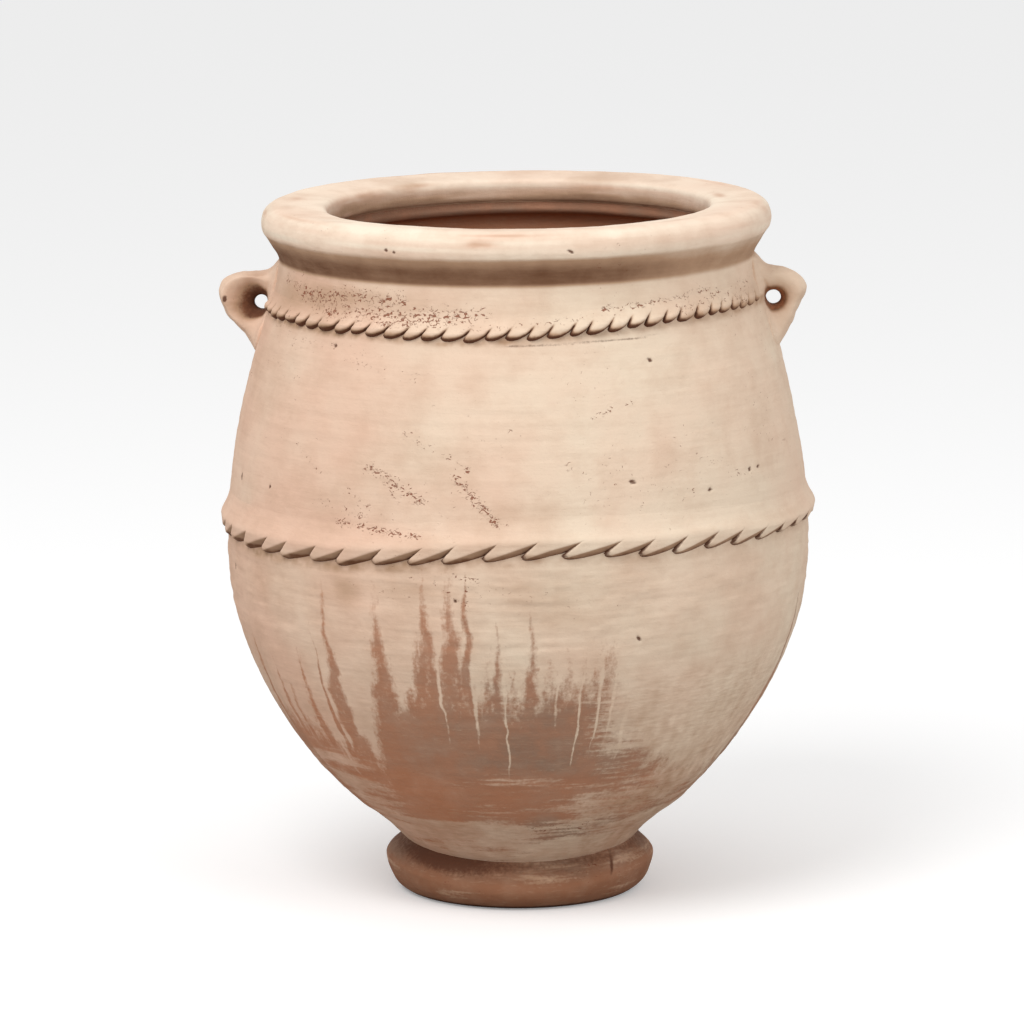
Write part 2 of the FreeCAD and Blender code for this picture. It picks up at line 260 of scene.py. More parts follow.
def relief_outside(points):
    """Height of the lumps, throwing rings, finger strokes and fine grain outside."""
    level = points[..., 2]
    lumps = 0.9 * noise(points, 95) + 0.35 * noise(points, 31)
    rings = 0.22 * noise(points, (150, 150, 7)) + 0.16 * noise(points, (90, 90, 3.1))
    stroked = window(level, 60, 85, 160, 185) + window(level, 270, 300, 362, 378)
    strokes = stroked * (0.6 * noise(points, (31, 31, 12)) + 0.35 * noise(points, (15, 15, 5)))
    grain = 0.13 * noise(points, 9) + 0.07 * noise(points, 4.3)
    return lumps + rings + strokes + grain


def relief_inside(points):
    rings = 0.9 * noise(points, (260, 260, 9)) + 0.35 * noise(points, (120, 120, 4))
    return rings + 0.5 * noise(points, 60)


# Pits: azimuth, level, half length, half height, depth, lean in degrees
PITS = [
    (80, 413, 5.5, 2.6, 2.4, -58), (82.5, 415, 3.5, 2, 1.6, 60), (23, 450, 3.6, 1.8, 1.6, -20),
    (41, 434, 2.4, 2, 1.4, 0), (53, 446, 3.2, 1.9, 1.4, -45), (56, 447, 2.2, 1.8, 1.2, 0),
    (-73, 431, 1.8, 4.4, 1.5, 8), (-58, 432, 2.2, 1.8, 1.3, 30), (-4, 415, 3.2, 2.6, 1.6, -40),
    (-7, 421, 4.2, 1.9, 1.5, -52), (-76, 339, 2, 3, 1.2, 0), (24, 298, 3.6, 1.6, 1.2, -45),
    (-12, 341, 2, 1.6, 1.2, -30), (30, 562, 3.2, 1.7, 1.0, -25), (-44, 574, 2.2, 1.8, 1.1, 0),
    (-29.5, 671, 2.2, 1.6, 0.9, -20), (-27.6, 669.5, 1.8, 1.4, 0.8, -20), (11.7, 671, 4, 1.3, 0.8, -30),
]
MIDDLE_RADIUS = 250  # of the wall, to turn degrees into millimetres
# Drag marks where grit broke the surface: azimuth and level of each end, half width, strength
SCARS = [
    (-12, 458, -4, 415, 7, 1.0), (-31, 465, -19, 436, 8, 0.9), (-24, 500, -10, 466, 6, 0.7),
    (-27, 457, -24, 434, 4, 0.9), (-37, 410, -19, 402, 5, 1.0), (-50, 479, -43, 454, 5, 0.6),
    (-60, 617, -28, 621, 12, 0.9), (-48, 604, -8, 610, 11, 0.9), (15, 511, 26, 527, 4, 0.7),
    (-70, 628, -52, 606, 8, 0.8), (-32, 598, -14, 604, 7, 1.0), (-66, 574, -30, 570, 7, 0.5),
    (-14, 596, 24, 606, 6, 0.6), (46, 622, 66, 600, 8, 0.7), (-40, 562, -18, 548, 8, 0.5),
    (20, 612, 44, 617, 4, 0.9), (40, 606, 72, 612, 12, 0.6), (-35, 440, -30, 425, 6, 0.7),
    (-42, 428, -30, 415, 9, 0.6), (-8, 352, 20, 330, 12, 0.35), (-33, 352, -22, 345, 8, 0.4),
    (-12, 366, -8, 362, 4, 0.8), (-17, 362, -10, 334, 3, 0.8), (-10, 362, -10, 330, 2.5, 0.8),
    (38, 470, 52, 440, 12, 0.4), (10, 470, 14, 455, 8, 0.45), (40, 134, 48, 120, 6, 0.5),
    (4, 92, 24, 90, 7, 0.7), (-6, 600, 4, 602, 5, 0.3), (66, 480, 72, 450, 8, 0.4),
]


def more_marks():
    """Marks of the same kinds round the back, where no two stages of a hand-made jar match."""
    random = np.random.default_rng(SEED + 1)
    for _ in range(46):
        length = random.uniform(1.6, 3.4)
        PITS.append((
            random.uniform(85, 265), random.uniform(90, 640), length,
            length * random.uniform(0.45, 0.8), random.uniform(0.6, 1.4), random.uniform(-60, 20),
        ))
    for _ in range(26):
        azimuth, level = random.uniform(80, 280), random.uniform(395, 630)
        SCARS.append((
            azimuth, level, azimuth + random.uniform(4, 16), level - random.uniform(-6, 34),
            random.uniform(4, 10), random.uniform(0.4, 1.0),
        ))


more_marks()


def dig_pits(azimuth, level, radius):
    """Depth and darkness of the pits over a grid of places on the outside."""
    depth = np.zeros_like(azimuth)
    dark = np.zeros_like(azimuth)
    for pit_azimuth, pit_level, length, height, deep, lean in PITS:
        across = np.radians(wrap(azimuth - pit_azimuth)) * radius
        up = level - pit_level
        near = (np.abs(across) < 3 * length) & (np.abs(up) < 3 * length)
        cosine = math.cos(math.radians(lean))
        sine = math.sin(math.radians(lean))
        along = (across[near] * cosine + up[near] * sine) / length
        over = (up[near] * cosine - across[near] * sine) / height
        hollow = np.exp(-((along**2 + over**2) ** 1.3))
        depth[near] = np.maximum(depth[near], deep * hollow)
        dark[near] = np.maximum(dark[near], hollow)
    return depth, dark


def scar_density(azimuth, level, points):
    """How thickly small grit marks lie, from 0 to 1: along the drag marks and in loose patches."""
    density = 0.3 * ramp(0.05, 0.6, noise(points, 55)) * ramp(280, 400, level)
    for start_azimuth, start_level, end_azimuth, end_level, half_width, strength in SCARS:
        across = np.radians(wrap(azimuth - start_azimuth)) * MIDDLE_RADIUS
        up = level - start_level
        run = math.radians(end_azimuth - start_azimuth) * MIDDLE_RADIUS
        rise = end_level - start_level
        share = limit((across * run + up * rise) / (run**2 + rise**2))
        distance = np.hypot(across - share * run, up - share * rise)
        density = np.maximum(density, strength * np.exp(-((distance / half_width) ** 2)))
    return density


# -------- where bare clay shows

# Lower edge of the pale wash all round: azimuth and level
WASH_EDGE = [
    (-180, 185), (-110, 225), (-75, 205), (-56, 195), (-46, 172), (-37, 166), (-33.5, 200), (-32, 232),
    (-24, 240), (-20, 262), (-8, 246), (0, 240), (8, 250), (16, 254), (21, 244), (27, 214), (34, 168),
    (50, 140), (75, 142), (100, 190), (180, 185),
]
# Tongues of bare clay standing up into the wash: azimuth, top level, half width at the foot in degrees
TONGUES = [
    (-41, 340, 4.0), (-45, 305, 1.2), (-51, 268, 2.2), (-28.5, 342, 3.4), (-20.5, 310, 1.4),
    (-18.5, 362, 2.6), (-13.4, 376, 3.4), (-10.2, 376, 1.5), (-6, 276, 1.6), (-4.4, 310, 1.3),
    (2.5, 318, 1.6), (-1, 260, 1.6), (6, 266, 1.2), (10, 276, 1.2), (13.5, 268, 1.4), (18, 284, 3.4),
    (-62, 262, 1.4), (-70, 285, 1.8), (-58, 236, 1.4),
]
# Runs of wash down over the bare clay: azimuth, lowest level, half width in degrees
RUNS = [
    (-24, 236, 0.9), (-16, 213, 0.8), (-9, 209, 1.3), (-2.6, 163, 0.6), (0.2, 233, 0.6),
    (8, 229, 0.8), (13, 171, 0.7), (-35.5, 180, 2.2), (-47.5, 160, 1.6), (17, 196, 0.8), (20, 205, 0.9),
    (24, 186, 1.2),
]


def back_streaks():
    """Tongues and runs round the back."""
    random = np.random.default_rng(SEED + 2)
    for _ in range(34):
        TONGUES.append((random.uniform(75, 290), random.uniform(235, 345), random.uniform(1.4, 3.4)))
    for _ in range(26):
        RUNS.append((random.uniform(75, 290), random.uniform(120, 190), random.uniform(0.9, 2.0)))


back_streaks()


FIELD_REACH = 40  # millimetres over which the edge of the bare clay is graded in the mesh
TONGUE_SLOPE = 0.5  # tongues thin out towards their tips
THICKEST_TONGUE = 23  # tongues and runs stay thin enough for what lies under them to show
THICKEST_RUN = 13


def bare_field(azimuth, level, points):
    """Signed height below the edge of the bare red-brown clay, as a share of FIELD_REACH: the clay
    shows where it is positive. The material breaks the edge up."""
    wavering = azimuth + 0.7 * noise(points, (70, 70, 30)) + 0.3 * noise(points, (30, 30, 9))
    ragged = 1 + 0.4 * noise(points, (12, 12, 24)) + 0.2 * noise(points, 7)
    edge = read_round(wavering, WASH_EDGE)
    top = edge + 9 * noise(points, (7, 7, 400))
    tongues = np.full_like(level, -1000.0)
    for tongue, tongue_top, half_width in TONGUES:
        apart = np.clip(np.abs(wrap(wavering - tongue)) / (half_width * ragged), 0, 1.5)
        peak = tongue_top - (tongue_top - edge) * (1 - limit(1 - apart) ** 1.25)
        peak = peak - 200 * limit(apart - 1)
        tongues = np.maximum(tongues, TONGUE_SLOPE * (peak - level))
    field = np.maximum(top - level, np.minimum(tongues, THICKEST_TONGUE))
    for run, run_bottom, half_width in RUNS:
        apart = limit(np.abs(wrap(wavering - run)) / (half_width * ragged))
        wash = np.maximum(run_bottom - level, -THICKEST_RUN) + 150 * apart**2
        field = np.minimum(field, wash)
    return np.clip(field / FIELD_REACH, -1, 1)


def orange_patch(azimuth, level):
    """A patch low on the front where the bare clay is orange and no wash was brushed back."""
    return bump(azimuth, -27, 9) * bump(level, 126, 30)


def brushed_wash(azimuth, level, points):
    """How much wash was brushed back over the bare clay, from 0 to 1."""
    low = ramp(176, 150, level)
    brushed = low * (0.3 + 0.34 * noise(points, (80, 80, 13)))
    brushed = brushed + 0.3 * bump(azimuth, -56, 17) * ramp(80, 110, level)
    patch = window(azimuth, -37, -28, -4, 10)
    brushed = brushed + bump(level, 90, 11) * (0.3 + 0.45 * patch) + 0.5 * ramp(90, 66, level)
    right_edge = 0.78 * window(azimuth, 7, 25, 60, 90)
    right_edge = right_edge * ramp(280, 240, level) * (0.2 + 0.8 * ramp(145, 200, level))
    return limit(brushed - 0.5 * orange_patch(azimuth, level) + right_edge)


# Smears where the wash is thin: azimuth, level, half widths in degrees and millimetres, strength
SMEARS = [
    (-35, 345, 3, 13, 0.6), (5, 345, 10, 17, 0.3), (-22, 350, 12, 8, 0.25), (-34, 616, 26, 15, 0.34),
    (55, 600, 20, 22, 0.2), (-72, 560, 12, 60, 0.2), (-5, 395, 10, 5, 0.25), (60, 395, 14, 8, 0.2),
    (-146, 686, 6, 3, 0.5), (157, 687, 10, 3, 0.4), (-60, 340, 10, 24, 0.15), (-24, 100, 12, 20, 0.3),
    (40, 118, 16, 16, 0.35), (10, 320, 12, 12, 0.2), (-20, 470, 12, 20, 0.12), (140, 430, 30, 40, 0.3),
    (200, 560, 24, 30, 0.35), (230, 330, 20, 50, 0.3), (170, 260, 16, 50, 0.25), (115, 520, 12, 60, 0.25),
    (-64, 612, 16, 17, 0.6), (-44, 622, 10, 8, 0.35), (0, 425, 40, 16, 0.12), (74, 604, 12, 14, 0.25),
]


def painted_band_shadow(azimuth, level, points):
    """How much painted shadow darkens the wall just under each band, from 0 to 1."""
    ragged = 0.7 + 0.5 * noise(points, (9, 9, 5)) + 0.3 * noise(points, 3.4)
    below_lower = LOWER_BAND_BOTTOM + read_round(azimuth, LOWER_STRAYS) - level
    below_upper = UPPER_BAND_BOTTOM + read_round(azimuth, UPPER_STRAYS) - level
    left = 0.45 + 0.55 * window(azimuth, -140, -90, -30, 20)
    lower = window(below_lower, -8, -4, 1, 11)
    upper = window(below_upper, -8, -3, 0, 7)
    return np.clip(ragged, 0, 1.3) * (left * lower + (0.3 + left) * upper)


def thin_wash_and_shade(azimuth, level, points):
    """How thin the wash looks where it isn't missing, with painted shade under the bands and under the rim
    added in: 0 is thick, 1 is thin and tan, 2 is brown, for stains and for deep painted shade.
    """
    right = ramp(14, 34, azimuth) * ramp(310, 190, level)
    # Tanner towards the bottom, and a little tanner still just below the lower band.
    low = ramp(240, 80, level)
    streaks = 0.5 + 0.8 * noise(points, (7, 7, 150)) + 0.3 * noise(points, (3, 3, 60))
    patches = 0.5 + 0.5 * noise(points, 42)
    thin = 0.05 + 0.3 * right * streaks + 0.2 * low + 0.25 * (patches - 0.5)
    thin = thin + 0.1 * ramp(378, 366, level)
    for smear in SMEARS:
        thin = thin + spot(azimuth, level, smear)
    # painted shadow on the wall under each band
    thin = thin + 0.75 * painted_band_shadow(azimuth, level, points)
    # Under the rim: a thin brown wash together with painted shade from the rim's overhang, deepest towards
    # the crease with the neck and fainter on the right.
    under_rim = window(level, 633, 639, 661, 665.5)
    towards_crease = ramp(664, 648, level)
    fainter_on_right = 1 - 0.4 * window(azimuth, 12, 52, 110, 150)
    return np.clip(thin + under_rim * fainter_on_right * (0.85 + 0.85 * towards_crease), 0, 2)


# The wash is pinker on the camera's left and greyer on its right: azimuth and share of pink
PINKNESS = [
    (-180, 0.5), (-100, 0.75), (-50, 0.8), (-18, 0.4), (6, 0.15), (60, 0.2), (120, 0.4), (180, 0.5),
]
# Rubbed patches on the rim: azimuth, distance inward from the crest, half width in degrees, half length
# and strength
RIM_PATCHES = [
    (-146, 43, 6, 5, 1.0), (-128, 46, 8, 5, 0.9), (157, 53, 11, 7, 1.0), (-100, 12, 4, 5, 0.6),
    (-8, -21, 3, 4, 1.0), (-3, -12, 8, 2, 0.6), (41, 4, 6, 3, 0.5), (78, -12, 5, 9, 0.5),
    (-160, -2, 14, 3, 0.6), (120, 4, 9, 3, 0.4), (100, 30, 6, 5, 0.6), (-60, -8, 8, 2, 0.3),
    (-118, 54, 18, 9, 1.0), (-150, 55, 16, 7, 0.7), (166, 58, 26, 6, 0.6), (-84, -16, 3, 3, 0.5),
]


def rim_patch(azimuth, places, points):
    """How strongly the wash is rubbed down to the orange clay on the rim, from 0 to 1."""
    rubbed = np.max([spot(azimuth, places - CREST_PLACE, patch) for patch in RIM_PATCHES], axis=0)
    strokes = 0.75 + 0.6 * noise(points, (34, 34, 3)) + 0.3 * noise(points, 9)
    return limit(rubbed * strokes)


def pink_share(azimuth, level, places, points):
    """How pink the wash is, and how orange the clay under it: 0 is cream, 1 is pink. It also holds a warm
    painted highlight above the lower band.
    """
    pink = read_round(azimuth, PINKNESS)
    pink = pink + 0.28 * noise(points, 70) + 0.12 * noise(points, 26)
    rim = ramp(650, 668, level)
    pink = pink * (1 - rim) + rim * (0.22 + 0.35 * noise(points, (110, 110, 4)))
    pink = pink + rim_patch(azimuth, places, points)
    swirl = bump(azimuth, 8, 34) * window(level, 96, 112, 145, 165)
    # a warm painted highlight along the top of the lower band on the left
    painted_ledge_highlight = bump(azimuth, -46, 26) * bump(level, 400, 13)
    low_left = bump(azimuth, -62, 22) * ramp(240, 190, level)
    neck_left = bump(azimuth, -62, 22) * bump(level, 614, 22)
    warm = 0.7 * orange_patch(azimuth, level) + 0.55 * swirl + 0.45 * painted_ledge_highlight
    return limit(pink + warm + 0.3 * low_left + 0.4 * neck_left)


INCISED_LINE = [(-8, 579.5), (0, 581.2), (27, 583.2), (40, 586)]


def incised_line(azimuth, level):
    """A thin line scratched along the foot of the upper band, from the middle to the right."""
    return bump(level, read_round(azimuth, INCISED_LINE), 1.1) * window(azimuth, -8, 0, 29, 36)


# Where the look changes inside the mouth: distances inward from the crest
LIP_WEARS = (40, 62)
CLAY_BEGINS = (64, 66)
NECK_STEP_ENDS = (88, 82)
INSIDE_RELIEF = (58, 70)


def wall_marks(azimuth, level, places, points):
    """The marks that tell the material how the jar's surface looks at each place of its skin."""
    inward = places - CREST_PLACE
    outer = inward < 0
    lip = ramp(*LIP_WEARS, inward)
    inside = ramp(*CLAY_BEGINS, inward)
    neck_step = inside * ramp(*NECK_STEP_ENDS, inward)
    lip_thin = 0.85 + 0.4 * noise(points, (60, 60, 5))
    thin = thin_wash_and_shade(azimuth, level, points) * (1 - lip) + lip * lip_thin
    pink = limit(pink_share(azimuth, level, places, points) + 0.5 * lip)
    return {
        "clay": bare_field(azimuth, level, points) * (1 - lip) + lip * (-1 + 2 * inside),
        "veil": np.where(outer, brushed_wash(azimuth, level, points), 0),
        "thin": thin + 0.5 * rim_patch(azimuth, places, points),
        "pink": pink * (1 - inside) + 0.85 * inside - 0.75 * neck_step,
        "scar": np.where(outer, scar_density(azimuth, level, points), 0.1),
        "dark": np.where(outer, 0.5 * incised_line(azimuth, level), 0),
    }


# -------- meshes

def grid_faces(rows, columns, close_rows=True):
    """Quads of a grid whose columns run all round; close_rows joins its last row to its first."""
    row_count = rows if close_rows else rows - 1
    row, column = np.meshgrid(np.arange(row_count), np.arange(columns), indexing="ij")
    next_row = (row + 1) % rows
    next_column = (column + 1) % columns
    corners = [
        row * columns + column, row * columns + next_column,
        next_row * columns + next_column, next_row * columns + column,
    ]
    return np.stack(corners, axis=-1).reshape(-1, 4)


def add_object(name, data):
    thing = bpy.data.objects.new(name, data)
    bpy.context.scene.collection.objects.link(thing)
    return thing


def make_piece(name, points, marks, slot, faces=None, normals=None):
    """Makes a mesh object from millimetre points, stores its marks for its slot's material and puts it in
    the place of the CAD node of the same name. Without faces the points are a closed grid."""
    if faces is None:
        faces = grid_faces(*points.shape[:2])
    mesh = bpy.data.meshes.new(name)
    mesh.from_pydata(points.reshape(-1, 3) * MM, [], faces)
    mesh.validate()
    mesh.shade_smooth()
    for mark, values in marks.items():
        layer = mesh.attributes.new(mark, "FLOAT", "POINT")
        layer.data.foreach_set("value", values.astype(np.float32).ravel())
    if normals is not None:
        mesh.normals_split_custom_set_from_vertices(normals.reshape(-1, 3))
    mesh.materials.append(MATERIALS[slot])
    piece = add_object(name, mesh)
    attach(piece, "root")
    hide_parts(name)


def grid_normals(points):
    """Smooth normals of a grid whose columns run round; the first and last rows are one-sided."""
    along = np.gradient(points, axis=0)
    around = np.roll(points, -1, axis=1) - np.roll(points, 1, axis=1)
    normals = np.cross(around, along)
    return normals / np.maximum(np.linalg.norm(normals, axis=-1, keepdims=True), 1e-9)


def normals_round(azimuth, outward, upward):
    """Normals at azimuths, from their parts away from the axis and up."""
    normals = place_round(1.0, 0.0, azimuth) * outward[..., None]
    normals[..., 2] = upward
    return normals


# Columns of the wall: closer together over the drips at the front than elsewhere
WALL_COLUMNS = np.concatenate([np.arange(-66, 34, 0.26), np.arange(34, 294, 0.76)])


def skin_patch(places):
    """Points, normals and marks all round the jar at places along its section. A row more on either side
    is used for the normals and then dropped."""
    step = 0.8
    places = np.concatenate([[places[0] - step], places, [places[-1] + step]])
    places = np.clip(places, 0.01, skin_places[-1] - 0.01)
    radius, level, outward, upward = (part[:, None] for part in section(places))
    azimuth, level, along = np.broadcast_arrays(WALL_COLUMNS[None, :], level, places[:, None])
    ideal = handmade(radius, level, azimuth)
    inner_share = ramp(*INSIDE_RELIEF, along - CREST_PLACE)
    relief = relief_outside(ideal) * (1 - inner_share) + relief_inside(ideal) * inner_share
    marks = wall_marks(azimuth, level, along, ideal)
    if places[0] < CREST_PLACE:
        pit_depth, pit_dark = dig_pits(azimuth, np.where(along < CREST_PLACE, level, -1000), radius)
        relief = relief - pit_depth - 0.6 * marks["dark"]
        marks["dark"] = np.maximum(marks["dark"], pit_dark)
    points = ideal + normals_round(azimuth, outward, upward) * relief[..., None]
    kept = slice(1, -1)
    return points[kept], grid_normals(points)[kept], {mark: values[kept] for mark, values in marks.items()}


def even_places(start, end, spacing):
    count = max(2, int(round(abs(end - start) / spacing)) + 1)
    return np.linspace(start, end, count)


def wall_piece(name, slot, *stretches):
    """A piece of the wall, closed all round, from stretches of the skin: where each starts and ends, and
    how far apart its rows stand."""
    patches = [skin_patch(even_places(*stretch)) for stretch in stretches]
    points, normals = (np.concatenate([patch[part] for patch in patches]) for part in range(2))
    marks = {mark: np.concatenate([patch[2][mark] for patch in patches]) for mark in patches[0][2]}
    make_piece(name, points, marks, slot, normals=normals)


def stage_piece(name, low, high, outer_spacing, inner_spacing):
    """A thrown stage of the wall between two levels: its outside and its inside."""
    outside = (outer_place(low), outer_place(high), outer_spacing)
    inside = (inner_place(high), inner_place(low), inner_spacing)
    wall_piece(name, "wall_clay", outside, inside)


def rim_piece():
    """The rolled rim, from the neck's outside over the crest to the neck's inside."""
    wall_piece("rim_roll", "rim_clay", (outer_place(RIM_SEAM), inner_place(RIM_SEAM), 1.3))


# -------- foot and floor

FOOT_OUTLINE = [
    (FLOOR_RADIUS, 12), (FLOOR_RADIUS + 2, 3), (FLOOR_RADIUS + 7, 0), (113, 0), (119, 3), (124.5, 7.5),
    (129.5, 14), (132.6, 21), (FOOT, 27), (132, 32), (128.5, 37), (123.5, 42.5), (118.5, 47.5),
    (115, FOOT_SEAM + 2), (108, FOOT_SEAM + 1), (FLOOR_RADIUS + 2, FOOT_SEAM - 1),
    (FLOOR_RADIUS, 40), (FLOOR_RADIUS, 25),
]


def foot_piece():
    azimuths = all_round(600)[None, :]
    line, _ = smooth_curve(FOOT_OUTLINE + FOOT_OUTLINE[:1], 1.5)
    tangent = np.roll(line, -1, axis=0) - np.roll(line, 1, axis=0)
    tangent /= np.linalg.norm(tangent, axis=1)[:, None]
    ideal = handmade(line[:, :1], line[:, 1:], azimuths)
    height = relief_outside(ideal) * 0.8 + 0.5 * noise(ideal, 14)
    height = height * ramp(0.5, 9, line[:, 1:])
    points = ideal + normals_round(azimuths, tangent[:, 1:], -tangent[:, :1]) * height[..., None]
    points[..., 2] = np.maximum(points[..., 2], 0)
    azimuth, level = np.broadcast_arrays(azimuths, line[:, 1:])
    worn = bump(level, 29, 5) * ramp(0.0, 0.7, noise(ideal, (30, 30, 8)))
    remains = ramp(0.1, 0.6, noise(ideal, (60, 60, 14))) * ramp(2, 12, level)
    greyed = bump(azimuth, 12, 34) * ramp(29, 37, level)
    # The hollow of the foot's top at the front left: redder, with less wash, and darkened with painted
    # shade.
    hollow = bump(azimuth, -40, 24) * ramp(30, 42, level)
    crack = bump(azimuth, 45 + 0.35 * (level - 36), 0.9) * bump(level, 37, 6)
    edge_clay = ramp(38, 27, level)
    # Painted shade in the crease where the foot meets the wall, and a painted shadow line along its bottom
    # edge.
    creases = 0.45 * bump(level, FOOT_SEAM - 3, 8) + 0.9 * ramp(6, 1, level)
    marks = {
        "clay": np.full_like(level, 0.9),
        "veil": limit(0.1 + 0.25 * worn + 0.35 * remains + 0.4 * greyed - 0.5 * hollow),
        "thin": 0.85 + 0.2 * noise(ideal, 35),
        "pink": limit(0.35 + 0.4 * noise(ideal, 50) + 0.8 * edge_clay + 0.5 * hollow),
        "scar": limit(0.3 + 0.3 * noise(ideal, 24)),
        "dark": limit(creases + 0.6 * hollow + 0.9 * crack),
    }
    make_piece("foot_ring", points, marks, "foot_clay")


def floor_piece():
    """The disc that closes the bottom, with the spiral the potter's fingers leave on its upper side."""
    columns = 240
    azimuths = all_round(columns)[None, :]
    outward = np.linspace(1.5, FLOOR_RADIUS - 0.3, 56)
    radius = np.concatenate([outward, outward[::-1]])[:, None]
    under, top = FLOOR_BOTTOM + 1, FOOT_SEAM - 1.5
    turn = azimuths / FULL_TURN
    spiral = 0.9 * np.sin(2 * np.pi * (radius / 11 - turn)) * ramp(4, 18, radius)
    upper = np.arange(len(radius))[:, None] >= len(outward)
    level = np.where(upper, top + spiral, under)
    ideal = place_round(radius + 0 * turn, level, azimuths)
    ideal[..., 2] += 0.8 * noise(ideal, 25)
    points = np.vstack([ideal.reshape(-1, 3), [[0, 0, under], [0, 0, top]]])
    below, above = len(points) - 2, len(points) - 1
    faces = [list(face) for face in grid_faces(len(radius), columns, close_rows=False)]
    last_row = (len(radius) - 1) * columns
    for column in range(columns):
        following = (column + 1) % columns
        faces.append([below, following, column])
        faces.append([above, last_row + column, last_row + following])
    plain = {"clay": 0.95, "veil": 0, "thin": 0.5, "pink": 0.4, "scar": 0.2, "dark": 0}
    marks = {mark: np.full(len(points), value) for mark, value in plain.items()}
    make_piece("base_floor", points, marks, "inner_clay", faces)


# -------- rope bands

def band_piece(name, level_up, strips, base_level, strays, closed):
    """A band lying on the wall, as a grid whose rows go up the wall from the band's foot. Each strip of
    columns has its azimuths, its height off the wall, how much painted shade darkens it and how much thinner
    wash and painted shade brown it; strays tells how far the hand-laid band strays from its level."""
    azimuth, height, dark, worn = (np.hstack(grids) for grids in zip(*strips))
    places = outer_place(base_level) + level_up + read_round(azimuth, strays)
    radius, level, outward, upward = section(places)
    ideal = handmade(radius, level, azimuth)
    normal = normals_round(azimuth, outward, upward)
    front = ideal + normal * (relief_outside(ideal) + height)[..., None]
    back_rows = np.linspace(len(ideal) - 1, 0, 4).astype(int)
    points = np.concatenate([front, ideal[back_rows] - 4 * normal[back_rows]])
    rows, columns = points.shape[:2]
    marks = wall_marks(azimuth, level, places, ideal)
    # Painted shade in the band's creases and under its edges, and the browner wash of its lower faces.
    marks["dark"] = dark
    marks["thin"] = np.clip(marks["thin"] + worn, 0, 2)
    marks = {mark: np.concatenate([values, values[back_rows]]) for mark, values in marks.items()}
    faces = grid_faces(rows, columns)
    if not closed:
        faces = [list(face) for face in faces.reshape(rows, columns, 4)[:, :-1].reshape(-1, 4)]
        first_end = [row * columns for row in range(rows)]
        faces.append(first_end)
        faces.append([corner + columns - 1 for corner in reversed(first_end)])
    make_piece(name, points, marks, "band_clay", faces)


def rounded_off(height, above_edge):
    """Rounds a band's height down to just under the wall's surface at the band's lower edge."""
    solid = np.sqrt(1 - (1 - limit(above_edge)) ** 2)
    return height * solid - 1.3 * (1 - solid)


LOWER_TEETH = 48
LOWER_NOTCH = 18  # height of the notched part
LOWER_FADE = 27  # how far the band takes to run out into the wall above its notches
LOWER_LEAN = 1.1  # how far a notch moves right for each millimetre up


def lower_band_piece():
    """The slashed band: each tooth is its own strip of columns, which lean with the notches."""
    random = np.random.default_rng(SEED + 3)
    fraction = np.linspace(0, 0.988, 24)[None, :]
    notched = np.linspace(-4, LOWER_NOTCH + 3, 36)
    up = np.concatenate([notched, np.linspace(LOWER_NOTCH + 4, 52, 22)])[:, None]
    pitch = FULL_TURN / LOWER_TEETH
    radius = section(outer_place(LOWER_BAND_BOTTOM + LOWER_NOTCH))[0]
    strength = random.uniform(0.85, 1.15, LOWER_TEETH)
    starts = np.arange(LOWER_TEETH) + random.uniform(-0.09, 0.09, LOWER_TEETH)
    ends = np.append(starts[1:], starts[0] + LOWER_TEETH)
    leans = LOWER_LEAN * random.uniform(0.85, 1.2, LOWER_TEETH)
    next_leans = np.append(leans[1:], leans[0])
    drops = random.uniform(-1.0, 1.4, LOWER_TEETH)
    strips = []
    for tooth in range(LOWER_TEETH):
        across = starts[tooth] + (ends[tooth] - starts[tooth]) * fraction
        lean = leans[tooth] * (1 - fraction) + next_leans[tooth] * fraction
        azimuth = across * pitch - 180 + np.degrees(np.clip(up, 0, LOWER_NOTCH) * lean / radius)
        flatter = window(azimuth, 38, 62, 100, 125)
        squeeze = 1 + 0.6 * flatter
        above_notch = up - LOWER_NOTCH / squeeze + LOWER_NOTCH
        squeezed_up = np.where(up * squeeze < LOWER_NOTCH, up * squeeze, above_notch)
        shape = tooth_shape(squeezed_up, fraction, strength[tooth] * (1 - 0.4 * flatter), drops[tooth])
        strips.append((azimuth, *shape))
    band_piece("lower_rope_band", up, strips, LOWER_BAND_BOTTOM, LOWER_STRAYS, closed=True)


